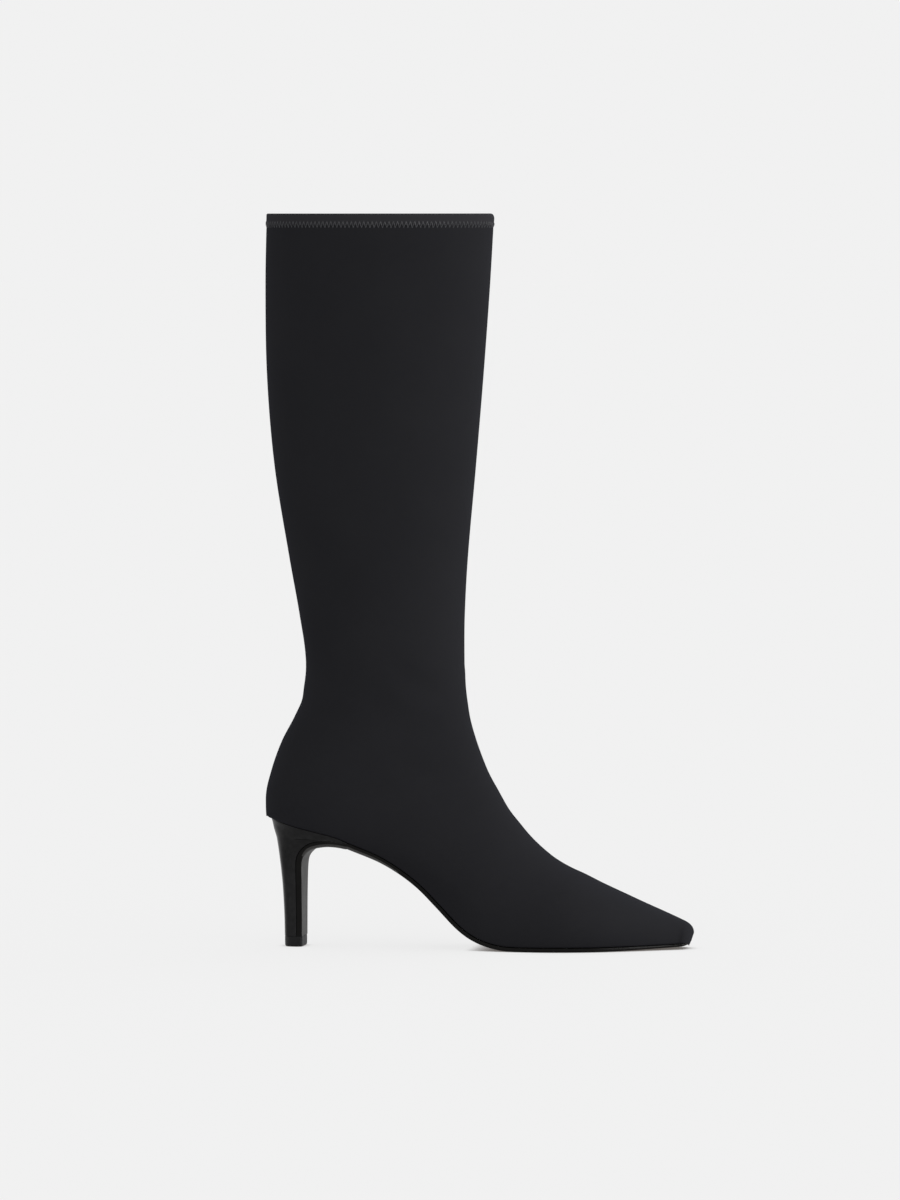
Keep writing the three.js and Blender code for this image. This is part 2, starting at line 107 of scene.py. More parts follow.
# Sections of the leg, from the collar down to the heel.
LEG = table(
    "back back_up front front_up half wide low_power",
    [
        (0.006, 1.0, 1.003, 1.0, 0.5, 0.5, 2.1),
        (0.0005, 0.88, 0.9845, 0.88, 0.497, 0.5, 2.1),
        (0.007, 0.732, 0.956, 0.732, 0.487, 0.5, 2.1),
        (0.04, 0.583, 0.923, 0.583, 0.468, 0.5, 2.1),
        (0.104, 0.434, 0.888, 0.434, 0.445, 0.49, 2.1),
        (0.151, 0.335, 0.874, 0.335, 0.43, 0.48, 2.1),
        (0.178, 0.26, 0.873, 0.26, 0.424, 0.46, 2.1),
        (0.168, 0.207, 0.876, 0.243, 0.42, 0.44, 2.1),
        (0.131, 0.17, 0.879, 0.221, 0.416, 0.42, 2.15),
        (0.072, 0.127, 0.8875, 0.193, 0.412, 0.4, 2.2),
        (0.026, 0.078, 0.9, 0.164, 0.408, 0.37, 2.3),
        (0.002, 0.032, 0.9225, 0.134, 0.404, 0.35, 2.4),
    ],
)

# Sections of the foot, from the heel seat to the toe.
FOOT = table(
    "sole top lift half mid ridge wide pinch low_power high_power",
    [
        (0.022, 0.51, 0.63, 0.363, 0.0, 0.01, 0.33, 0.0, 2.4, 2.0),
        (0.076, 0.5265, 0.517, 0.355, 0.0, 0.015, 0.32, 0.04, 3.4, 2.0),
        (0.157, 0.549, 0.427, 0.345, -0.005, 0.02, 0.32, 0.08, 5.0, 2.0),
        (0.235, 0.573, 0.37, 0.335, -0.01, 0.03, 0.33, 0.14, 5.0, 2.0),
        (0.31, 0.596, 0.397, 0.335, -0.015, 0.04, 0.34, 0.19, 5.0, 2.0),
        (0.375, 0.624, 0.456, 0.355, -0.015, 0.045, 0.36, 0.2, 5.0, 2.0),
        (0.431, 0.653, 0.567, 0.385, -0.01, 0.045, 0.37, 0.17, 5.0, 2.0),
        (0.49, 0.683, 0.696, 0.425, -0.005, 0.04, 0.38, 0.12, 5.0, 2.0),
        (0.553, 0.716, 0.732, 0.465, 0.0, 0.035, 0.4, 0.09, 5.0, 2.0),
        (0.62, 0.751, 0.692, 0.495, 0.0, 0.03, 0.4, 0.08, 5.0, 2.05),
        (0.69, 0.793, 0.602, 0.498, 0.01, 0.02, 0.42, 0.07, 5.0, 2.1),
        (0.765, 0.8415, 0.507, 0.45, 0.025, 0.01, 0.44, 0.07, 5.0, 2.15),
        (0.835, 0.8885, 0.414, 0.362, 0.05, 0.0, 0.46, 0.07, 5.0, 2.2),
        (0.898, 0.9325, 0.326, 0.268, 0.075, 0.0, 0.48, 0.07, 5.0, 2.3),
        (0.945, 0.9655, 0.258, 0.193, 0.09, 0.0, 0.5, 0.07, 5.0, 2.4),
        (0.972, 0.984, 0.218, 0.152, 0.095, 0.0, 0.52, 0.07, 5.0, 2.5),
    ],
)

# The line of the sole's outside from the lip round the arch's end and down the heel's breast. reach is a share of
# the way from breast to lip, up a share of the seat's height.
BREAST = table(
    "reach up",
    [
        (1.0, 0.771),
        (0.773, 0.786),
        (0.578, 0.79),
        (0.416, 0.785),
        (0.27, 0.773),
        (0.156, 0.754),
        (0.066, 0.718),
        (0.02, 0.68),
        (0.004, 0.62),
        (0.0, 0.5),
        (0.0, 0.25),
        (0.0, 0.0),
    ],
)

# Sections of the heel, from its seat to the floor: the back's height and place, how far down the breast line the
# front lies, and how far the width has grown from the column's to the seat's.
HEEL = table(
    "down depth run flare wide",
    [
        (-0.06, 1.74, -0.05, 0.72, 0.45),
        (0.0, 1.61, 0.0, 0.66, 0.45),
        (0.046, 1.47, 0.055, 0.62, 0.45),
        (0.098, 1.415, 0.14, 0.56, 0.46),
        (0.163, 1.37, 0.235, 0.47, 0.47),
        (0.235, 1.295, 0.31, 0.36, 0.48),
        (0.3, 1.235, 0.37, 0.26, 0.5),
        (0.386, 1.17, 0.45, 0.165, 0.52),
        (0.53, 1.085, 0.583, 0.07, 0.55),
        (0.765, 1.005, 0.792, 0.01, 0.55),
        (1.0, 0.975, 1.0, 0.0, 0.55),
    ],
)
HEEL_BACK_POWER = 2.2
HEEL_BREAST_POWER = 14.0


def smooth(rows, key, column, at):
    """Smooth curve through a table: the value of a column where the key column reaches at."""
    k = rows[key]
    v = rows[column]
    slopes = np.empty(len(k))
    slopes[1:-1] = (v[2:] - v[:-2]) / (k[2:] - k[:-2])
    slopes[0] = (v[1] - v[0]) / (k[1] - k[0])
    slopes[-1] = (v[-1] - v[-2]) / (k[-1] - k[-2])
    at = np.asarray(at, float)
    i = np.clip(np.searchsorted(k, at) - 1, 0, len(k) - 2)
    span = k[i + 1] - k[i]
    t = (at - k[i]) / span
    blend = t * t * (3 - 2 * t)
    bend = (1 - t) * slopes[i] - t * slopes[i + 1]
    return v[i] * (1 - blend) + v[i + 1] * blend + span * t * (1 - t) * bend


def step_between(low, high, at):
    """0 below low, 1 above high and a soft step between them."""
    t = np.clip((np.asarray(at, float) - low) / (high - low), 0, 1)
    return t * t * (3 - 2 * t)


# The sole line, flat under the ball and rising to the toe, and its downward normal
FLAT_TOP = SOLE_THICKNESS + GAP
SPRING_START = 0.78 * FOOT_LENGTH


def sole_top(x):
    rise = np.maximum(0, smooth(SOLE_LINE, "x", "rise", np.asarray(x) / FOOT_LENGTH))
    beyond = np.maximum(0, (x - SPRING_START) / (FOOT_LENGTH - SPRING_START))
    return FLAT_TOP + (HEEL_HEIGHT - FLAT_TOP) * rise + TOE_SPRING * beyond**2


def sole_down(x):
    """x and z of the sole line's downward normal."""
    slope = sole_top(x + 0.5) - sole_top(x - 0.5)
    length = np.hypot(slope, 1)
    return slope / length, -1 / length


ARCH_THIN_END = 0.4 * FOOT_LENGTH


def sole_depth(x):
    thick = 1 - step_between(HEEL_LIP, ARCH_THIN_END, x)
    thin = TOE_THINNING * step_between(SPRING_START, FOOT_LENGTH, x)
    return SOLE_THICKNESS + (ARCH_THICKNESS - SOLE_THICKNESS) * thick - thin


def all_sections():
    """Every section of the last as two ends in the side view, low and high, with its widths."""
    leg = {
        "low_x": LEG["back"] * COLLAR_DEPTH,
        "low_z": HEEL_HEIGHT + LEG["back_up"] * SHAFT_HEIGHT,
        "high_x": LEG["front"] * COLLAR_DEPTH,
        "high_z": HEEL_HEIGHT + LEG["front_up"] * SHAFT_HEIGHT,
        "half": LEG["half"] * COLLAR_WIDTH,
        "mid": 0 * LEG["half"],
        "ridge": 0 * LEG["half"],
        "wide": LEG["wide"],
        "pinch": 0 * LEG["half"],
        "low_power": LEG["low_power"],
        "high_power": 0 * LEG["half"] + 2,
    }
    x = FOOT["sole"] * FOOT_LENGTH
    down_x, down_z = sole_down(x)
    foot = {
        "low_x": x + LASTING_DEPTH * down_x,
        "low_z": sole_top(x) + LASTING_DEPTH * down_z,
        "high_x": FOOT["top"] * FOOT_LENGTH,
        "high_z": sole_top(x) + FOOT["lift"] * INSTEP_LIFT,
        "half": FOOT["half"] * BALL_WIDTH,
        "mid": FOOT["mid"] * BALL_WIDTH,
        "ridge": FOOT["ridge"] * BALL_WIDTH,
        "wide": FOOT["wide"],
        "pinch": FOOT["pinch"],
        "low_power": FOOT["low_power"],
        "high_power": FOOT["high_power"],
    }
    both = {name: np.concatenate([leg[name], foot[name]]) for name in leg}
    middle_x = (both["low_x"] + both["high_x"]) / 2
    middle_z = (both["low_z"] + both["high_z"]) / 2
    steps = np.hypot(np.diff(middle_x), np.diff(middle_z))
    both["along"] = np.concatenate([[0.0], np.cumsum(steps)])
    return both


SECTIONS = all_sections()
BODY_END = SECTIONS["along"][-1]


def section_at(along):
    """Sections at distances along the boot; past the last one the toe is rounded off."""
    along = np.asarray(along, float)
    body = np.minimum(along, BODY_END)
    section = {name: smooth(SECTIONS, "along", name, body) for name in SECTIONS if name != "along"}
    forward = np.clip(along - BODY_END, 0, TOE_ROUND)
    share = forward / TOE_ROUND
    section["low_x"] = section["low_x"] + 0.6 * forward
    section["high_x"] = section["high_x"] + forward
    section["high_z"] = section["high_z"] - TOE_SLOPE * forward - TOE_DROP * (1 - (1 - share**2.4) ** (1 / 2.4))
    section["half"] = section["half"] * (1 - share**2.6) ** (1 / 2.6)
    return section


def ring(section, angle):
    """Points of superellipses, boxier below their widest place; sections run down and angles across."""
    s = {name: np.asarray(value, float).reshape(-1, 1) for name, value in section.items()}
    angle = np.atleast_2d(angle)
    length = np.hypot(s["high_x"] - s["low_x"], s["high_z"] - s["low_z"])
    dir_x = (s["high_x"] - s["low_x"]) / length
    dir_z = (s["high_z"] - s["low_z"]) / length
    below = s["wide"] * length
    above = length - below
    sole_share = np.maximum(0.05, (below - LASTING_DEPTH) / below)
    up = np.cos(angle)
    side = -np.sin(angle)
    power = np.where(up > 0, s["high_power"], s["low_power"])
    reach = (np.abs(up) ** power + np.abs(side) ** power) ** (-1 / power)
    up_share = up * reach
    tuck = s["pinch"] * np.minimum(1, -up_share / sole_share) ** 2
    narrow = np.where(up < 0, 1 - tuck, 1)
    distance = below + up_share * np.where(up > 0, above, below)
    lean = s["ridge"] * np.maximum(0, up_share) ** 2
    return np.stack(
        [
            s["low_x"] + dir_x * distance,
            s["mid"] + lean + s["half"] * side * reach * narrow,
            s["low_z"] + dir_z * distance,
        ],
        -1,
    )


# Where rings lie in the rounded end of the toe, as shares of its length
NOSE = np.sin(np.radians([10, 20, 29, 38, 46, 53, 60, 66, 71, 76, 80, 83.5, 86.5, 89]))


def above_line(points, depth):
    """How far points lie above the line that runs a depth below the sole line."""
    x = points[..., 0]
    return (points[..., 2] - sole_top(x)) * -sole_down(x)[1] + depth


def crossing(along, depth):
    """Angle at which each ring meets the line a depth below the sole line, or half a turn where it stays above."""
    section = section_at(along)
    low = np.full((len(along), 1), math.pi / 2)
    high = np.full((len(along), 1), math.pi)
    whole = above_line(ring(section, high), depth) >= 0
    for _ in range(40):
        middle = (low + high) / 2
        inside = above_line(ring(section, middle), depth) > 0
        low = np.where(inside, middle, low)
        high = np.where(inside, high, middle)
    return np.where(whole, math.pi, low)


def first_crossing(depth):
    """Distance along the boot at which its back meets the line a depth below the sole line."""
    low = SECTIONS["along"][9]
    high = SECTIONS["along"][14]
    for _ in range(50):
        middle = (low + high) / 2
        point = ring(section_at([middle]), [math.pi])
        if above_line(point, depth)[0, 0] > 0:
            low = middle
        else:
            high = middle
    return low


def even_stations(start, end, step):
    """Distances along the boot between which neither end of the ring moves more than a step."""
    fine = np.linspace(start, end, 4000)
    section = section_at(fine)
    low = np.hypot(np.diff(section["low_x"]), np.diff(section["low_z"]))
    high = np.hypot(np.diff(section["high_x"]), np.diff(section["high_z"]))
    moved = np.concatenate([[0.0], np.cumsum(np.maximum(low, high))])
    count = max(2, math.ceil(moved[-1] / step) + 1)
    return np.interp(np.linspace(0, moved[-1], count), moved, fine)


def outward(grid, closed):
    """Outward directions over a grid of rings, where closed rings meet in their first and last column."""
    along = np.gradient(grid, axis=0)
    around = np.gradient(grid, axis=1)
    seam = (grid[:, 1] - grid[:, -2]) / 2
    around[:, 0] = np.where(closed[:, None], seam, around[:, 0])
    around[:, -1] = np.where(closed[:, None], seam, around[:, -1])
    normal = np.cross(around, along)
    length = np.linalg.norm(normal, axis=-1, keepdims=True)
    return np.where(length > 1e-9, normal / np.maximum(length, 1e-9), (1.0, 0.0, 0.0))


# The place of these lengths in the row's frame: under the middle of the CAD box
tip_low, tip_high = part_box("heel_tip")
SHIFT_X = tip_high.x / MM - HEEL_BREAST
SHIFT_Y = (tip_low.y + tip_high.y) / 2 / MM


def to_frame(points):
    """Points in millimetres of the last to metres of the row's frame."""
    return (np.asarray(points, float).reshape(-1, 3) + (SHIFT_X, SHIFT_Y, 0)) * MM


def make_mesh(name, points, faces, materials, uv=None, material_of=None):
    """A smooth mesh object from points in the row's frame, faces, UVs for each face corner and materials."""
    mesh = bpy.data.meshes.new(name)
    mesh.from_pydata([tuple(p) for p in points], [], [tuple(f) for f in faces])
    if uv is not None:
        layer = mesh.uv_layers.new(name="UVMap")
        layer.data.foreach_set("uv", np.asarray(uv, np.float32).ravel())
    for material in materials:
        mesh.materials.append(material)
    if material_of is not None:
        mesh.polygons.foreach_set("material_index", np.asarray(material_of, np.int32))
    work = bmesh.new()
    work.from_mesh(mesh)
    bmesh.ops.remove_doubles(work, verts=work.verts, dist=2e-6)
    bmesh.ops.dissolve_degenerate(work, edges=work.edges, dist=1e-6)
    bmesh.ops.recalc_face_normals(work, faces=work.faces)
    work.to_mesh(mesh)
    work.free()
    mesh.polygons.foreach_set("use_smooth", [True] * len(mesh.polygons))
    mesh.set_sharp_from_angle(angle=math.radians(48))
    mesh.update()
    piece = bpy.data.objects.new(name, mesh)
    bpy.context.scene.collection.objects.link(piece)
    return piece


def grid_faces(rows, columns, start=0, wrap=False):
    """Quads over a grid of points, row by row, closed across when wrap is set."""
    r = np.arange(rows - 1)[:, None]
    c = np.arange(columns if wrap else columns - 1)[None, :]
    after = (c + 1) % columns
    corners = [r * columns + c, r * columns + after, (r + 1) * columns + after, (r + 1) * columns + c]
    return np.stack(corners, -1).reshape(-1, 4) + start


# Materials


class Nodes:
    """A material's node tree with short calls for the nodes used here."""

    def __init__(self, name):
        self.material = bpy.data.materials.new(name)
        self.material.use_nodes = True
        self.tree = self.material.node_tree
        self.shader = next(n for n in self.tree.nodes if n.type == "BSDF_PRINCIPLED")

    def node(self, kind, **inputs):
        made = self.tree.nodes.new(kind)
        for key, value in inputs.items():
            self.set(made, key.replace("_", " ").title(), value)
        return made

    def set(self, node, socket, value):
        if isinstance(value, bpy.types.NodeSocket):
            self.tree.links.new(value, node.inputs[socket])
        else:
            node.inputs[socket].default_value = value

    def math(self, operation, a, b=0.0, c=0.0):
        made = self.tree.nodes.new("ShaderNodeMath")
        made.operation = operation
        for index, value in enumerate((a, b, c)):
            self.set(made, index, value)
        return made.outputs[0]

    def spread(self, value, low, high, to_low, to_high):
        made = self.tree.nodes.new("ShaderNodeMapRange")
        for index, number in enumerate((value, low, high, to_low, to_high)):
            self.set(made, index, number)
        return made.outputs[0]

    def mix(self, share, a, b):
        made = self.tree.nodes.new("ShaderNodeMix")
        made.data_type = "RGBA"
        self.set(made, 0, share)
        self.set(made, 6, a)
        self.set(made, 7, b)
        return made.outputs[2]

    def noise(self, vector, scale, detail=3.0, roughness=0.5):
        made = self.tree.nodes.new("ShaderNodeTexNoise")
        self.set(made, "Vector", vector)
        self.set(made, "Scale", scale)
        self.set(made, "Detail", detail)
        self.set(made, "Roughness", roughness)
        return made.outputs["Fac"]

    def bump(self, height, distance, strength=1.0, normal=None):
        made = self.tree.nodes.new("ShaderNodeBump")
        self.set(made, "Strength", strength)
        self.set(made, "Distance", distance)
        self.set(made, "Height", height)
        if normal is not None:
            self.set(made, "Normal", normal)
        return made.outputs[0]

    def finish(self, **values):
        for key, value in values.items():
            self.set(self.shader, key.replace("_", " ").title().replace("Ior", "IOR"), value)
        return self.material


def knit(name, dark, light, roughness, specular, sheen):
    """Fine knit fabric. The UV is in millimetres: x round the leg, y down it."""
    n = Nodes(name)
    uv = n.tree.nodes.new("ShaderNodeUVMap").outputs[0]
    where = n.tree.nodes.new("ShaderNodeTexCoord").outputs["Object"]
    apart = n.tree.nodes.new("ShaderNodeSeparateXYZ")
    n.set(apart, 0, uv)
    across = apart.outputs[0]
    down = apart.outputs[1]
    turn = 2 * math.pi
    wale_pitch = 0.42
    course_pitch = 0.32
    wale = n.math("ABSOLUTE", n.math("SINE", n.math("MULTIPLY", across, turn / wale_pitch / 2)))
    lean = n.math("MULTIPLY", wale, 0.9)
    course = n.math("SINE", n.math("ADD", n.math("MULTIPLY", down, turn / course_pitch), lean))
    loop = n.math("ADD", wale, n.math("MULTIPLY", course, 0.35))
    fluff = n.noise(where, 2600, 2)
    cloud = n.noise(where, 30, 3)
    broad = n.noise(where, 11, 2)
    tone = n.math("ADD", n.spread(cloud, 0.3, 0.7, 0, 0.5), n.spread(broad, 0.3, 0.7, 0, 0.5))
    colour = n.mix(tone, (*dark, 1), (*light, 1))
    weave = n.bump(loop, 0.00006, 0.5)
    fuzzy = n.bump(fluff, 0.00008, 0.35, weave)
    soft = n.bump(cloud, 0.0006, 0.35, fuzzy)
    return n.finish(
        base_color=colour,
        roughness=n.spread(cloud, 0.3, 0.7, roughness - 0.04, roughness + 0.05),
        normal=soft,
        specular_ior_level=specular,
        sheen_weight=sheen,
        sheen_roughness=0.45,
        sheen_tint=(0.75, 0.8, 1.0, 1),
    )


def lacquer(name, colour, roughness, specular, coat):
    """Glossy moulded or lacquered surface with faint ripples, rubbed a little duller in places."""
    n = Nodes(name)
    where = n.tree.nodes.new("ShaderNodeTexCoord").outputs["Object"]
    ripple = n.noise(where, 120, 2)
    rub = n.noise(where, 260, 5, 0.65)
    speck = n.noise(where, 1500, 2)
    shade = n.mix(n.spread(rub, 0.35, 0.75, 0, 1), (*colour, 1), (*[c * 1.6 for c in colour], 1))
    return n.finish(
        base_color=shade,
        roughness=n.spread(rub, 0.3, 0.75, roughness, roughness + 0.09),
        normal=n.bump(speck, 0.00001, 0.3, n.bump(ripple, 0.00012, 0.3)),
        specular_ior_level=specular,
        coat_weight=coat,
        coat_roughness=0.06,
        coat_ior=1.4,
    )


def rubber(name, colour, grain_scale, grain_depth, roughness, specular):
    """Matt sole material with a fine pebbled grain and light scuffs."""
    n = Nodes(name)
    where = n.tree.nodes.new("ShaderNodeTexCoord").outputs["Object"]
    pebble = n.tree.nodes.new("ShaderNodeTexVoronoi")
    n.set(pebble, "Vector", where)
    n.set(pebble, "Scale", grain_scale)
    scuff = n.noise(where, 90, 6, 0.7)
    shade = n.mix(n.spread(scuff, 0.5, 0.8, 0, 0.6), (*colour, 1), (*[c * 2.2 for c in colour], 1))
    return n.finish(
        base_color=shade,
        roughness=n.spread(scuff, 0.35, 0.7, roughness, roughness + 0.14),
        normal=n.bump(pebble.outputs["Distance"], grain_depth, 0.6),
        specular_ior_level=specular,
    )


fabric = knit("stretch_fabric", (0.0112, 0.0112, 0.0126), (0.0128, 0.0128, 0.0142), 0.6, 0.0, 0.02)
hem_fabric = knit("hem_fabric", (0.0185, 0.0182, 0.02), (0.0215, 0.0212, 0.023), 0.6, 0.0, 0.02)
lining = knit("lining_fabric", (0.014, 0.014, 0.0155), (0.018, 0.018, 0.0195), 0.8, 0.0, 0.03)
thread = knit("hem_thread", (0.03, 0.03, 0.032), (0.045, 0.045, 0.048), 0.42, 0.2, 0.1)
gloss = lacquer("heel_lacquer", (0.01, 0.0099, 0.0101), 0.2, 0.035, 0.0)
edge = lacquer("sole_edge_paint", (0.0024, 0.0022, 0.002), 0.2, 0.08, 0.0)
tread = rubber("sole_rubber", (0.017, 0.016, 0.015), 1400, 0.00012, 0.5, 0.34)
tip_rubber = rubber("tip_rubber", (0.0068, 0.0068, 0.007), 1800, 0.0001, 0.4, 0.08)
board = rubber("insole_cover", (0.03, 0.028, 0.026), 1100, 0.00015, 0.62, 0.3)


# The upper: one closed shell with its folded hem


def hem_lift(drop):
    """How far the outside stands proud near the collar: the folded hem, then a shallow dip under its edge."""
    fold = 1 - step_between(HEM_HEIGHT - 0.25, HEM_HEIGHT + 0.15, drop)
    dip = np.exp(-(((drop - HEM_HEIGHT - 0.9) / 0.9) ** 2))
    return HEM_STEP * fold - 0.14 * dip


# Soft folds of the fabric on the side view: where they run, how wide and how deep, and on which side they lie.
# Points are shares of the foot's length and heights in millimetres. Depth under zero is a trough.
FOLDS = [
    {"side": 0, "width": 5.5, "depth": -0.45, "line": [(0.075, 148), (0.13, 141), (0.2, 138)]},
    {"side": 0, "width": 6.5, "depth": 0.55, "line": [(0.06, 157), (0.13, 151), (0.22, 149)]},
    {"side": -1, "width": 7.0, "depth": -0.55, "line": [(0.3, 175), (0.36, 160), (0.44, 150)]},
    {"side": -1, "width": 9.0, "depth": 0.5, "line": [(0.28, 160), (0.35, 146), (0.45, 134)]},
    {"side": 1, "width": 7.0, "depth": -0.5, "line": [(0.27, 178), (0.35, 163), (0.44, 152)]},
    {"side": 0, "width": 8.0, "depth": -0.45, "line": [(0.3, 118), (0.38, 106), (0.47, 98)]},
]


def fold_lift(points, half):
    """Displacement of the fabric by its folds, at points of the form."""
    lift = np.zeros(points.shape[:-1])
    x = points[..., 0]
    z = points[..., 2]
    lateral = step_between(-0.25, 0.35, -points[..., 1] / half)
    weights = {-1: lateral, 1: 1 - lateral, 0: np.ones_like(lateral)}
    for fold in FOLDS:
        line = np.array(fold["line"]) * (FOOT_LENGTH, 1)
        lengths = np.hypot(*np.diff(line, axis=0).T)
        starts = np.concatenate([[0], np.cumsum(lengths)])
        best = np.full(x.shape, 1e9)
        place = np.zeros(x.shape)
        for a, b, length, start in zip(line[:-1], line[1:], lengths, starts):
            t = np.clip(((x - a[0]) * (b[0] - a[0]) + (z - a[1]) * (b[1] - a[1])) / length**2, 0, 1)
            away = np.hypot(x - a[0] - t * (b[0] - a[0]), z - a[1] - t * (b[1] - a[1]))
            nearer = away < best
            best = np.where(nearer, away, best)
            place = np.where(nearer, (start + t * length) / starts[-1], place)
        fade = np.sin(math.pi * np.clip(0.12 + 0.76 * place, 0, 1))
        lift += weights[fold["side"]] * fold["depth"] * fade * np.exp(-((best / fold["width"]) ** 2))
    return lift


COLLAR_FRONT = LEG["front"][0] * COLLAR_DEPTH
DIP = 3.0


def front_dip(x, drop):
    """How far the rim dips at the very front of the collar, fading out below it."""
    near = np.clip(DIP - (COLLAR_FRONT - x), 0, 0.97 * DIP)
    return (DIP - np.sqrt(DIP**2 - near**2)) * (1 - step_between(1, 9, drop))


def make_upper():
    columns = 150
    hem_thickness = UPPER_WALL + HEM_STEP + 0.3
    rim = hem_thickness / 2
    above_edge = HEM_HEIGHT * np.array([0.28, 0.4, 0.53, 0.68, 0.82, 0.9, 0.94, 0.965, 0.99])
    below_edge = HEM_HEIGHT * np.array([1.015, 1.05, 1.1, 1.18, 1.3, 1.47, 1.7])
    near_collar = np.concatenate([[rim], above_edge, below_edge])
    meets = first_crossing(0)
    leg = even_stations(near_collar[-1], meets, 2.4)
    opening = meets + 0.05 * np.arange(1, 7) ** 2
    foot = even_stations(opening[-1], BODY_END, 2.2)
    along = np.concatenate([near_collar, leg[1:], opening, foot[1:], BODY_END + TOE_ROUND * NOSE])
    closed = along <= meets + 1e-6
    end = crossing(along, 0)
    share = np.linspace(-1, 1, columns + 1)
    share = np.sign(share) * (1 - (1 - np.abs(share)) ** 1.12)
    section = section_at(along)
    base = ring(section, end * share[None, :])
    normal = outward(base, closed)

    drop = (COLLAR_HEIGHT - base[..., 2]).clip(0)
    lift = hem_lift(drop) + fold_lift(base, section["half"][:, None])
    inside_hem = 0.3 * (1 - step_between(HEM_HEIGHT + 0.4, HEM_HEIGHT + 0.9, drop))
    # the fabric turns in under the foot over its last fraction of a millimetre
    height = np.where(closed[:, None], 9.0, above_line(base, 0))
    at_back = 1 - step_between(8, 24, base[..., 0])
    turn_in = (0.3 + 0.7 * at_back) * (1 - np.clip(height / (0.9 + 1.9 * at_back), 0, 1)) ** 2
    outer = base + normal * (lift - turn_in)[..., None]
    inner = base + normal * (np.minimum(lift, fold_lift(base, section["half"][:, None])) - UPPER_WALL - inside_hem)[..., None]

    # the rim is rounded off at the front of the collar
    for surface in (outer, inner):
        surface[..., 2] -= front_dip(surface[..., 0], drop)

    # the toe's front closes in shrinking rings, a little domed
    for surface_name in ("outer", "inner"):
        surface = outer if surface_name == "outer" else inner
        last = surface[-1]
        foot_point = (last[0] + last[-1]) / 2
        caps = []
        for shrink in (0.6, 0.25, 0.0):
            cap = foot_point + (last - foot_point) * shrink
            cap[:, 0] += 0.03 * (1 - shrink**2)
            caps.append(cap)
        if surface_name == "outer":
            outer = np.concatenate([outer, np.array(caps)])
        else:
            inner = np.concatenate([inner, np.array(caps)])
    count = len(outer)
    closed_all = np.concatenate([closed, np.zeros(count - len(closed), bool)])

    # the rim folds over from the outside to the inside at the collar, lower towards the front corner
    centre = (outer[0] + inner[0]) / 2
    across = (outer[0] - inner[0]) / 2
    radius = np.linalg.norm(across, axis=-1, keepdims=True)
    upward = np.array([[0.0, 0.0, 1.0]])
    fold = []
    for degrees in (20, 40, 60, 80, 100, 120, 140, 160):
        a = math.radians(degrees)
        fold.append(centre + across * math.cos(a) + upward * radius * math.sin(a))
    shell = np.concatenate([inner[::-1], np.array(fold)[::-1], outer])
    rows = len(shell)
    points = to_frame(shell)
    width = columns + 1
    faces = grid_faces(rows, width)

    # bottom edges, from the outside to the inside, along both ends of the open rings
    bottom = []
    outer_start = rows - count
    for r in range(count - 1):
        if closed_all[r] and closed_all[r + 1]:
            continue
        a = (outer_start + r) * width
        b = (count - 1 - r) * width
        bottom.append((a, a + width, b - width, b))
        bottom.append((a + width - 1, b + width - 1, b - 1, a + 2 * width - 1))
    faces = np.concatenate([faces, np.array(bottom)])

    # UVs in millimetres: round the leg from its front, and down it
    around = np.zeros((rows, width))
    spans = np.linalg.norm(np.diff(shell, axis=1), axis=-1)
    around[:, 1:] = np.cumsum(spans, axis=1)
    around -= around[:, [columns // 2]]
    rows_length = np.linalg.norm(np.diff(shell.mean(axis=1), axis=0), axis=-1)
    downward = np.concatenate([[0.0], np.cumsum(rows_length)])
    uv = np.stack([around, np.repeat(downward[:, None], width, 1)], -1).reshape(-1, 2)
    uv_corners = uv[faces.ravel()]
    inner_rows = count + 4
    face_row = faces[:, 0] // width
    material_of = (face_row < inner_rows).astype(int)
    hem_start = rows - count
    hem_rows = len(above_edge)
    material_of[(face_row >= inner_rows) & (face_row < hem_start + hem_rows)] = 2
    material_of[-len(bottom):] = 0
    piece = make_mesh("upper_shell", points, faces, [fabric, lining, hem_fabric], uv_corners, material_of)
    return piece


# Zigzag stitching over the hem's lower edge


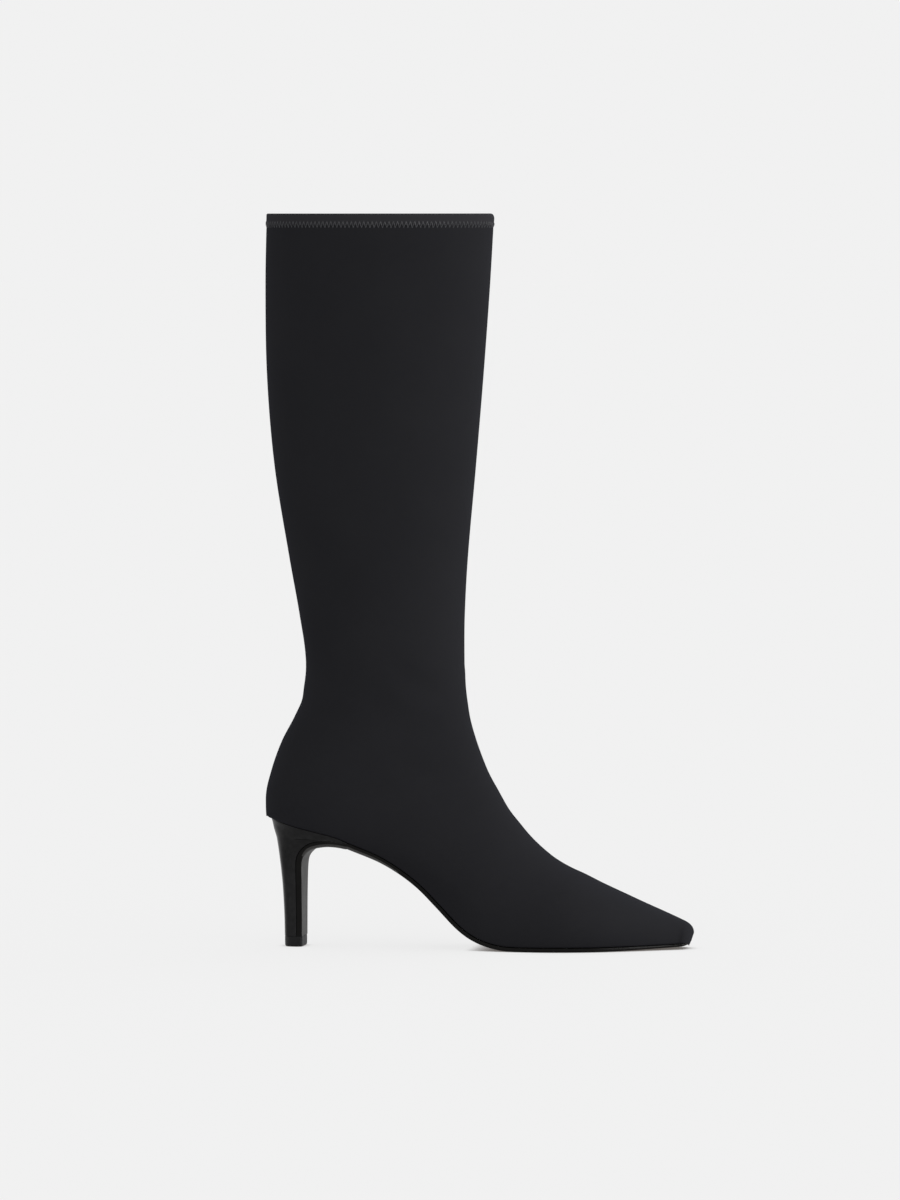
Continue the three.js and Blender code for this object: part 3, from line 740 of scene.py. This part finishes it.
def make_stitches():
    perimeter = ring(section_at([HEM_HEIGHT]), np.linspace(-math.pi, math.pi, 721)[None, :])[0]
    steps = np.linalg.norm(np.diff(perimeter, axis=0), axis=-1)
    measure = np.concatenate([[0], np.cumsum(steps)])
    pitch = 2.5
    count = round(measure[-1] / pitch)
    radius = 0.2
    sides = 6
    points = []
    faces = []
    high_drop = HEM_HEIGHT - 2.4
    low_drop = HEM_HEIGHT + 1.5
    for i in range(2 * count):
        rising = i % 2 == 0
        start = i / 2 * measure[-1] / count
        end = (i + 1) / 2 * measure[-1] / count
        share = np.linspace(0, 1, 7)
        where = (start + (end - start) * share) % measure[-1]
        drops = low_drop + (high_drop - low_drop) * (share if rising else 1 - share)
        angles = np.interp(where, measure, np.linspace(-math.pi, math.pi, 721))
        section = section_at(drops)
        path = ring(section, angles[:, None])[:, 0]
        ahead = ring(section, angles[:, None] + 0.002)[:, 0]
        tangent = ahead - path
        normal = np.cross(tangent, (0, 0, -1))
        normal /= np.linalg.norm(normal, axis=-1, keepdims=True)
        arch = 0.16 * np.sin(math.pi * share)
        # the lower ends pull deeper into the fabric
        sunk = 0.15 * (drops - high_drop) / (low_drop - high_drop)
        path = path + normal * (hem_lift(drops) + 0.1 + arch - sunk)[:, None]
        path[:, 2] -= front_dip(path[:, 0], drops)
        direction = np.gradient(path, axis=0)
        direction /= np.linalg.norm(direction, axis=-1, keepdims=True)
        other = np.cross(direction, normal)
        thick = radius * np.array([0.55, 0.9, 1, 1, 1, 0.9, 0.55])
        first = len(points)
        for k in range(7):
            for s in range(sides):
                a = 2 * math.pi * s / sides
                points.append(path[k] + thick[k] * (math.cos(a) * normal[k] + math.sin(a) * other[k]))
        for k in range(6):
            for s in range(sides):
                t = (s + 1) % sides
                faces.append((first + k * sides + s, first + k * sides + t, first + (k + 1) * sides + t, first + (k + 1) * sides + s))
        faces.append(tuple(first + s for s in range(sides))[::-1])
        faces.append(tuple(first + 6 * sides + s for s in range(sides)))
    piece = make_mesh("hem_stitches", to_frame(points), faces, [thread])
    return piece


# Slabs under and in the foot, from the form's outline at the sole line


def outline(depth, start_x, step=2.0, full=False):
    """Pairs of side points where the form meets a line under the sole line: lateral, medial, heel to toe."""
    meets = first_crossing(depth)
    opening = meets + 0.04 * np.arange(1, 9) ** 2
    foot = even_stations(opening[-1], BODY_END, step)
    along = np.concatenate([[meets], opening, foot[1:], BODY_END + TOE_ROUND * NOSE])
    end = crossing(along, depth)
    section = section_at(along)
    lateral = ring(section, end)[:, 0]
    medial = ring(section, -end)[:, 0]
    medial[0] = lateral[0]
    if full:
        return lateral, medial
    beyond = lateral[:, 0] > start_x + 0.5
    cut = int(np.argmax(beyond))
    t = (start_x - lateral[cut - 1, 0]) / (lateral[cut, 0] - lateral[cut - 1, 0])
    first_lateral = lateral[cut - 1] + t * (lateral[cut] - lateral[cut - 1])
    first_medial = medial[cut - 1] + t * (medial[cut] - medial[cut - 1])
    return np.vstack([[first_lateral], lateral[cut:]]), np.vstack([[first_medial], medial[cut:]])


def inset_outline(lateral, medial, inset, proud=0.0):
    """The outline moved in by a distance, or out by proud, square to its run seen from above."""
    inset = np.broadcast_to(inset, len(lateral)) - proud

    def moved(side, sign):
        run = np.gradient(side[:, :2], axis=0)
        run /= np.maximum(np.linalg.norm(run, axis=-1, keepdims=True), 1e-9)
        result = side.copy()
        result[:, 0] += sign * -run[:, 1] * inset
        result[:, 1] += sign * run[:, 0] * inset
        return result

    return moved(lateral, 1), moved(medial, -1)


def slab(name, lateral, medial, down, thickness, materials, top_round, bottom_round, bottom_reach, dish=0.0, bare=0):
    """A plate hanging from an outline; down, thickness and the roundings are given for each pair of points."""
    top = [(1 - math.sin(a), 1 - math.cos(a)) for a in np.radians([0, 30, 60, 90])]
    low = [(1 - math.cos(a), math.sin(a) - 1) for a in np.radians([0, 10, 20, 30, 40, 50, 60, 70, 80, 90])]
    spread = np.array([0.035, 0.1, 0.2, 0.35, 0.5, 0.65, 0.8, 0.9, 0.965])
    top_round = np.broadcast_to(top_round, len(lateral))
    bottom_round = np.broadcast_to(bottom_round, len(lateral))
    bottom_reach = np.broadcast_to(bottom_reach, len(lateral))
    rows = []
    width = np.linalg.norm(medial - lateral, axis=-1)
    for i in range(len(lateral)):
        across = (medial[i] - lateral[i]) / max(width[i], 1e-6)
        most = 0.45 * width[i]
        row = []
        for q in spread:
            sunk = dish * math.sin(math.pi * q)
            row.append(lateral[i] + across * (q * width[i]) + down[i] * sunk)
        reach = min(bottom_reach[i], most)
        ends = [(min(top_round[i] * a, most), top_round[i] * b) for a, b in top]
        ends += [(reach * a, thickness[i] + bottom_round[i] * b) for a, b in low]
        right = [medial[i] - across * inset + down[i] * deep for inset, deep in ends]
        left = [lateral[i] + across * inset + down[i] * deep for inset, deep in ends]
        share = reach / max(width[i], 1e-6)
        inner = [share + (1 - 2 * share) * q for q in spread[::-1]]
        under = [lateral[i] + across * (q * width[i]) + down[i] * thickness[i] for q in inner]
        rows.append(row + right + under + left[::-1])
    rows = np.array(rows)
    last = rows[-1]
    heart = last.mean(axis=0)
    extra = []
    for forward, shrink in ((0.1, 0.85), (0.17, 0.6), (0.2, 0.4)):
        cap = heart + (last - heart) * shrink
        cap[:, 0] += forward
        extra.append(cap)
    rows = np.concatenate([rows, np.array(extra)])
    count, width_count = rows.shape[:2]
    faces = [tuple(f) for f in grid_faces(count, width_count, wrap=True)]
    top_count = len(spread)
    side_count = len(top) + len(low)
    # the underside's material starts on the flat, or part way up a rolled edge
    bare = np.broadcast_to(bare, len(lateral))
    material_of = []
    for f in faces:
        column = f[0] % width_count
        more = bare[min(f[0] // width_count, len(bare) - 1)]
        under = top_count + side_count - 1 - more <= column < 2 * top_count + side_count + more
        material_of.append(1 if under else 0)
    faces.append(tuple(range(width_count))[::-1])
    faces.append(tuple((count - 1) * width_count + k for k in range(width_count)))
    material_of += [0, 0]
    return make_mesh(name, to_frame(rows), faces, materials, None, material_of)


# The sole's outer line past the lip: round the end of the arch and down the breast


def breast_points():
    """Points of the sole's outer line from the lip to the floor, their shares of its length and outward normals."""
    x = HEEL_BREAST + BREAST["reach"] * (HEEL_LIP - HEEL_BREAST)
    z = BREAST["up"] * HEEL_HEIGHT
    along = np.concatenate([[0.0], np.cumsum(np.hypot(np.diff(x), np.diff(z)))])
    rows = {"along": along, "x": x, "z": z}
    fine = np.linspace(0, along[-1], 400)
    line_x = smooth(rows, "along", "x", fine)
    line_z = smooth(rows, "along", "z", fine)
    run = np.concatenate([[0.0], np.cumsum(np.hypot(np.diff(line_x), np.diff(line_z)))])
    tangent_x = np.gradient(line_x, run)
    tangent_z = np.gradient(line_z, run)
    length = np.hypot(tangent_x, tangent_z)
    return line_x, line_z, run / run[-1], -tangent_z / length, tangent_x / length


LINE_X, LINE_Z, LINE_RUN, LINE_OUT_X, LINE_OUT_Z = breast_points()


def breast_line(run, inward):
    """x and z of the line moved in from the sole's outside by a distance, at shares of its length."""
    x = np.interp(run, LINE_RUN, LINE_X - LINE_OUT_X * inward)
    z = np.interp(run, LINE_RUN, LINE_Z - LINE_OUT_Z * inward)
    return x, z


def column_half(run):
    """Half the heel's width where its front reaches a share of the breast line."""
    seat_half = FOOT["half"][1] * BALL_WIDTH
    return HEEL_COLUMN_WIDTH / 2 + (seat_half - HEEL_COLUMN_WIDTH / 2) * smooth(HEEL, "run", "flare", run)


def make_outsole():
    """The sole from the toe to the lip, and on round the arch's end down the heel's breast."""
    lateral, medial = outline(GAP, HEEL_LIP)
    middle_x = (lateral[:, 0] + medial[:, 0]) / 2
    down_x, down_z = sole_down(middle_x)
    down = np.stack([down_x, 0 * down_x, down_z], -1)
    # the sole's underside curves up over its last few millimetres
    tip = np.clip((middle_x - middle_x.max() + 6) / 6, 0, 1)
    thickness = sole_depth(middle_x) * np.sqrt(1 - 0.85 * tip**2)
    # the sole's edge stands a little proud of the upper under the forefoot
    proud = 0.35 * step_between(95, 130, middle_x) - 0.9 * tip
    lateral, medial = inset_outline(lateral, medial, 0.0, proud)
    keep = medial[:, 1] - lateral[:, 1] > 0.8
    lateral = lateral[keep]
    medial = medial[keep]
    middle_x = middle_x[keep]
    down = down[keep]
    thickness = thickness[keep]

    run = np.concatenate([np.linspace(0.035, 0.2, 10), np.linspace(0.2, 0.5, 26)[1:], np.linspace(0.5, 0.99, 10)[1:]])
    bottom_run = np.interp(-(HEEL_TIP_THICKNESS + GAP), -LINE_Z, LINE_RUN)
    run = np.append(run[run < bottom_run - 0.02], bottom_run)
    x, z = breast_line(run, ARCH_THICKNESS)
    out_x = np.interp(run, LINE_RUN, LINE_OUT_X)
    out_z = np.interp(run, LINE_RUN, LINE_OUT_Z)
    out = np.stack([out_x, 0 * out_x, out_z], -1)
    share = step_between(0.0, 0.2, run)
    half = 0.985 * column_half(run)
    flap_lateral = np.stack([x, lateral[0, 1] * (1 - share) - half * share, z], -1)
    flap_medial = np.stack([x, medial[0, 1] * (1 - share) + half * share, z], -1)
    lateral = np.concatenate([flap_lateral[::-1], lateral])
    medial = np.concatenate([flap_medial[::-1], medial])
    down = np.concatenate([out[::-1], down])
    thickness = np.concatenate([np.full(len(run), ARCH_THICKNESS), thickness])
    down = down / np.linalg.norm(down, axis=-1, keepdims=True)
    # the edge is plain on the breast and rolls in softly under the arch's end
    forward = step_between(62, 100, lateral[:, 0])
    upright = np.concatenate([step_between(0.3, 0.44, run)[::-1], 0 * middle_x])
    rolled = (1 - forward) * (1 - upright)
    thickness = thickness + 0.45 * rolled
    bottom_round = 0.45 + 2.5 * rolled + 0.35 * forward
    bottom_round = np.minimum(bottom_round, 0.8 * thickness)
    bottom_reach = 0.45 + 3.6 * rolled + 0.35 * forward
    bare = np.where(rolled > 0.4, 7, 0)
    top_round = np.minimum(0.08 + 0.17 * forward, 0.15 * thickness)
    return slab(
        "sole_plate", lateral, medial, down, thickness, [edge, tread], top_round, bottom_round, bottom_reach, bare=bare
    )


def make_insole():
    lateral, medial = outline(0, 0, full=True)
    lateral, medial = inset_outline(lateral, medial, UPPER_WALL + GAP + 0.1)
    keep = medial[:, 1] - lateral[:, 1] > 3
    lateral = lateral[keep]
    medial = medial[keep]
    inside = lateral[:, 0] < lateral[:, 0].max() - 1.2
    lateral = lateral[inside]
    medial = medial[inside]
    middle = (lateral + medial) / 2
    down_x, down_z = sole_down(middle[:, 0])
    down = np.stack([down_x, 0 * down_x, down_z], -1)
    rise = -down * INSOLE_THICKNESS
    thickness = np.full(len(lateral), INSOLE_THICKNESS - 0.05)
    return slab("insole_board", lateral + rise, medial + rise, down, thickness, [board, board], 0.5, 0.3, 0.3, 0.25)


# The heel: its seat follows the upper's edge and flows into a slim column behind the sole's flap


def heel_column(down, angle, inward, breast_power):
    """Rings of the heel at shares of its height below the seat's back, their front inward of the breast line."""
    down = np.atleast_1d(down)
    depth = smooth(HEEL, "down", "depth", down)
    run = smooth(HEEL, "down", "run", down)
    front_x, front_z = breast_line(run, inward)
    section = {
        "low_x": HEEL_BREAST - HEEL_COLUMN_DEPTH * depth,
        "low_z": HEEL_HEIGHT * (1 - down),
        "high_x": front_x,
        "high_z": front_z,
        "half": column_half(run),
        "mid": 0 * depth,
        "ridge": 0 * depth,
        "wide": smooth(HEEL, "down", "wide", down),
        "pinch": 0 * depth,
        "low_power": 0 * depth + HEEL_BACK_POWER,
        "high_power": 0 * depth + breast_power,
    }
    return ring(section, angle)


HEEL_FRONT = ARCH_THICKNESS + 0.05
FRONT_X, FRONT_Z = breast_line(LINE_RUN, HEEL_FRONT)
TURN = int(np.argmin(np.abs(LINE_OUT_X - LINE_OUT_Z * -1)))


def ceiling(x):
    """Height of the flap's inner line over x, forward of the bend at the top of the breast."""
    order = slice(TURN, None, -1)
    return np.interp(x, FRONT_X[order], FRONT_Z[order])


def seat_end():
    """Where the heel's wedge runs out between the upper and the sole."""
    x = np.linspace(30, HEEL_LIP + 3, 400)
    down_x, down_z = sole_down(x)
    room = sole_top(x) + GAP / down_z - ceiling(x)
    return float(x[np.argmax(room < 0.25)])


SEAT_END = seat_end()


def seat_ring(share):
    """The upper's edge round the heel seat, for shares of a turn from the middle of its front: -1 to 1."""
    lateral, medial = outline(GAP, 0, 1.0, full=True)
    corner = 0.25
    ends = []
    for side in (lateral, medial):
        cut = int(np.argmax(side[:, 0] > SEAT_END))
        t = (SEAT_END - side[cut - 1, 0]) / (side[cut, 0] - side[cut - 1, 0])
        part = np.vstack([side[:cut], [side[cut - 1] + t * (side[cut] - side[cut - 1])]])[::-1]
        measure = np.concatenate([[0], np.cumsum(np.linalg.norm(np.diff(part, axis=0), axis=-1))])
        ends.append((part, measure / measure[-1]))
    points = []
    for s in share:
        part, measure = ends[0] if s > 0 else ends[1]
        if abs(s) < corner:
            front = part[0]
            middle = (ends[0][0][0] + ends[1][0][0]) / 2
            points.append(middle + (front - middle) * abs(s) / corner)
        else:
            f = (abs(s) - corner) / (1 - corner)
            points.append([np.interp(f, measure, part[:, k]) for k in range(3)])
    return np.array(points)


def behind_flap(points):
    """Points moved back square to the breast line wherever they reach into the sole's flap."""
    away = np.hypot(points[..., 0, None] - LINE_X, points[..., 2, None] - LINE_Z)
    nearest = np.argmin(away, axis=-1)
    out_x = LINE_OUT_X[nearest]
    out_z = LINE_OUT_Z[nearest]
    inward = (LINE_X[nearest] - points[..., 0]) * out_x + (LINE_Z[nearest] - points[..., 2]) * out_z
    short = np.maximum(0, HEEL_FRONT - inward)
    moved = points.copy()
    moved[..., 0] -= out_x * short
    moved[..., 2] -= out_z * short
    return moved


def make_heel():
    columns = 160
    share = (np.arange(columns) + 0.5) / columns * 2 - 1
    seat = seat_ring(share)
    angle = (share * math.pi)[None, :]
    run = np.roll(seat, -1, axis=0) - np.roll(seat, 1, axis=0)
    inward = np.stack([-run[:, 1], run[:, 0], 0 * run[:, 0]], -1)
    inward /= np.linalg.norm(inward, axis=-1, keepdims=True)
    towards = np.array([SEAT_END / 2, 0]) - seat[:, :2]
    inward *= np.sign((inward[:, :2] * towards).sum(-1))[:, None]
    down_x, down_z = sole_down(seat[:, 0])
    down = np.stack([down_x, 0 * down_x, down_z], -1)
    room = np.where(seat[:, 0] > FRONT_X[TURN], np.maximum(seat[:, 2] - ceiling(seat[:, 0]), 0), 99)
    front = 1 - step_between(0.2, 0.33, np.abs(share))
    first_back = smooth(HEEL, "down", "depth", 0.004)
    rings = []
    levels = [0.0, 0.1, 0.3, 0.6, 1.0, 1.6, 2.3, 3.1, 4.0, 4.9, 5.8, 6.8, 7.8, 8.8, 9.8, 10.8, 11.8, 12.8, 13.8]
    for depth in levels:
        share_down = (depth + 0.3) / HEEL_HEIGHT
        back_in = HEEL_COLUMN_DEPTH * max(0.0, first_back - smooth(HEEL, "down", "depth", share_down))
        edge_in = 0.4 * (1 - min(depth / 0.6, 1)) ** 2
        overhang = 0.2 + 2.6 * (1 - step_between(2, 20, seat[:, 0]))
        inset = (back_in + overhang) * (1 - 0.8 * front) + edge_in
        sunk = np.minimum(depth, room)
        seat_part = seat + inward * inset[:, None] + down * sunk[:, None]
        column_part = heel_column(share_down, angle, HEEL_FRONT, HEEL_BREAST_POWER)[0]
        weight = step_between(1.0, 12.5, depth)
        rings.append(seat_part * (1 - weight) + column_part * weight)
    bottom = 1 - (HEEL_TIP_THICKNESS + GAP) / HEEL_HEIGHT
    start = (levels[-1] + 0.3) / HEEL_HEIGHT
    for level in np.linspace(start, bottom - 0.004, 64)[1:]:
        rings.append(heel_column(level, angle, HEEL_FRONT, HEEL_BREAST_POWER)[0])
    base = heel_column(bottom, angle, HEEL_FRONT, HEEL_BREAST_POWER)[0]
    heart = base.mean(axis=0)
    rings.append(heart + (base - heart) * (0.96, 0.98, 1))
    rings = np.array(rings)
    rings = behind_flap(rings)
    count = len(rings)
    faces = [tuple(f) for f in grid_faces(count, columns, wrap=True)]
    faces.append(tuple(range(columns))[::-1])
    faces.append(tuple((count - 1) * columns + k for k in range(columns)))
    return make_mesh("heel_block", to_frame(rings), faces, [gloss])


def make_heel_tip():
    columns = 96
    share = np.linspace(-1, 1, columns + 1)[:-1]
    angle = (share * math.pi)[None, :]
    top = 1 - (HEEL_TIP_THICKNESS + 0.2) / HEEL_HEIGHT
    rings = []
    for drop, inset in ((0, 0.2), (0.1, 0.05), (0.4, 0.0), (2.2, -0.03), (4.0, -0.03), (5.3, 0.0), (5.75, 0.12), (6.0, 0.5)):
        points = heel_column(min(top + drop / HEEL_HEIGHT, 1.0), angle, -0.08, 9.0)[0]
        heart = points.mean(axis=0)
        size = np.array([HEEL_COLUMN_DEPTH / 2, HEEL_COLUMN_WIDTH / 2, 1e9])
        rings.append(heart + (points - heart) * (1 - inset / size))
    rings = np.array(rings)
    count = len(rings)
    faces = [tuple(f) for f in grid_faces(count, columns, wrap=True)]
    faces.append(tuple(range(columns))[::-1])
    faces.append(tuple((count - 1) * columns + k for k in range(columns)))
    return make_mesh("top_piece", to_frame(rings), faces, [tip_rubber])


pieces = [
    (make_upper(), ["upper"], "upper_fabric"),
    (make_stitches(), [], "upper_fabric"),
    (make_insole(), ["insole"], "insole_board"),
    (make_outsole(), ["outsole"], "sole"),
    (make_heel(), ["heel"], "heel_gloss"),
    (make_heel_tip(), ["heel_tip"], "top_piece"),
]
for piece, nodes, slot in pieces:
    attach(piece, "root")
    if nodes:
        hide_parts(*nodes)


# Floor, light and camera

# The pale room gives one even light, and soft lamps make up what the floor swallows of it. The floor is lit from
# below like a light table, which keeps the boot's shadow faint.
ROOM = 0.879
FLOOR_ALBEDO = 0.8
FLOOR_GLOW = 0.89


def make_floor():
    mesh = bpy.data.meshes.new("floor")
    reach = 60.0
    corners = [(-reach, -reach, 0), (reach, -reach, 0), (reach, reach, 0), (-reach, reach, 0)]
    mesh.from_pydata(corners, [], [(0, 1, 2, 3)])
    floor = bpy.data.objects.new("floor", mesh)
    bpy.context.scene.collection.objects.link(floor)
    n = Nodes("floor_paper")
    where = n.tree.nodes.new("ShaderNodeTexCoord").outputs["Object"]
    cloud = n.noise(where, 1.2, 2)
    colour = n.mix(n.spread(cloud, 0.3, 0.7, 0, 1), (0.798, 0.798, 0.798, 1), (0.802, 0.802, 0.802, 1))
    paper = n.finish(base_color=colour, roughness=1.0, specular_ior_level=0.0)
    glow = n.tree.nodes.new("ShaderNodeEmission")
    # painted contact shadow: right under the sole, where ambient occlusion finds the paper covered, the glow turns
    # from the room's white to a dark warm brown
    cover = n.tree.nodes.new("ShaderNodeAmbientOcclusion")
    cover.samples = 6
    cover.inputs["Distance"].default_value = 0.009
    unshadowed_share = n.spread(cover.outputs["AO"], 0.06, 0.7, 0, 1)
    # colour of the painted contact shadow in the floor's glow
    painted_contact_shadow = (0.13, 0.115, 0.105, 1)
    n.tree.links.new(n.mix(unshadowed_share, painted_contact_shadow, (ROOM, ROOM, ROOM, 1)), glow.inputs["Color"])
    blend = n.tree.nodes.new("ShaderNodeMixShader")
    blend.inputs[0].default_value = FLOOR_GLOW
    n.tree.links.new(n.shader.outputs[0], blend.inputs[1])
    n.tree.links.new(glow.outputs[0], blend.inputs[2])
    output = next(node for node in n.tree.nodes if node.type == "OUTPUT_MATERIAL")
    n.tree.links.new(blend.outputs[0], output.inputs["Surface"])
    mesh.materials.append(paper)


make_floor()

world = bpy.data.worlds.new("room")
world.use_nodes = True
background = world.node_tree.nodes["Background"]
background.inputs[0].default_value = (ROOM, ROOM, ROOM, 1)
background.inputs[1].default_value = 1.0
bpy.context.scene.world = world

# Lamps: compass angle from the camera's side towards the toe, height above the floor and width of the lamp's disc
# in degrees. share is the lamp's part of the floor's missing light; a lamp with a power lights the boot alone.
LAMPS = [
    {"name": "overhead", "azimuth": 25, "elevation": 62, "share": 0.7, "soft": 70},
    {"name": "behind", "azimuth": 160, "elevation": 50, "share": 0.3, "soft": 60},
    {"name": "toe_side", "azimuth": 80, "elevation": 10, "power": 4.6, "soft": 50},
    {"name": "heel_side", "azimuth": -70, "elevation": 0, "power": 1.15, "soft": 60},
]
boot_only = bpy.data.collections.new("lit_boot")
for piece, nodes, slot in pieces:
    boot_only.objects.link(piece)
missing = ROOM * (1 - FLOOR_ALBEDO) / FLOOR_ALBEDO * math.pi
for lamp in LAMPS:
    light = bpy.data.lights.new(lamp["name"], "SUN")
    light.angle = math.radians(lamp["soft"])
    elevation = math.radians(lamp["elevation"])
    azimuth = math.radians(lamp["azimuth"])
    light.energy = lamp["power"] if "power" in lamp else missing * lamp["share"] / math.sin(elevation)
    holder = bpy.data.objects.new(lamp["name"], light)
    if "power" in lamp:
        holder.light_linking.receiver_collection = boot_only
    towards = Vector(
        (math.sin(azimuth) * math.cos(elevation), -math.cos(azimuth) * math.cos(elevation), math.sin(elevation))
    )
    holder.rotation_mode = "QUATERNION"
    holder.rotation_quaternion = towards.to_track_quat("Z", "Y")
    bpy.context.scene.collection.objects.link(holder)

# The camera stands 6 m off, level with the collar, turned 8 degrees towards the toe.
CAMERA_AZIMUTH = math.radians(8)
CAMERA_DISTANCE = 6.0
TARGET = Vector(((110.6 + SHIFT_X) * MM, SHIFT_Y * MM, 0.20654))
FRAME_HEIGHT = 1200 * 0.59365 * MM
camera = bpy.data.cameras.new("camera")
camera.sensor_fit = "VERTICAL"
camera.sensor_height = 24
camera.lens = 24 * CAMERA_DISTANCE / FRAME_HEIGHT
camera.clip_end = 200
viewpoint = bpy.data.objects.new("camera", camera)
viewpoint.location = TARGET + CAMERA_DISTANCE * Vector((math.sin(CAMERA_AZIMUTH), -math.cos(CAMERA_AZIMUTH), 0))
viewpoint.location.z = 0.436
viewpoint.rotation_mode = "QUATERNION"
viewpoint.rotation_quaternion = (viewpoint.location - TARGET).to_track_quat("Z", "Y")
bpy.context.scene.collection.objects.link(viewpoint)
bpy.context.scene.camera = viewpoint
bpy.context.scene.view_settings.view_transform = "Standard"
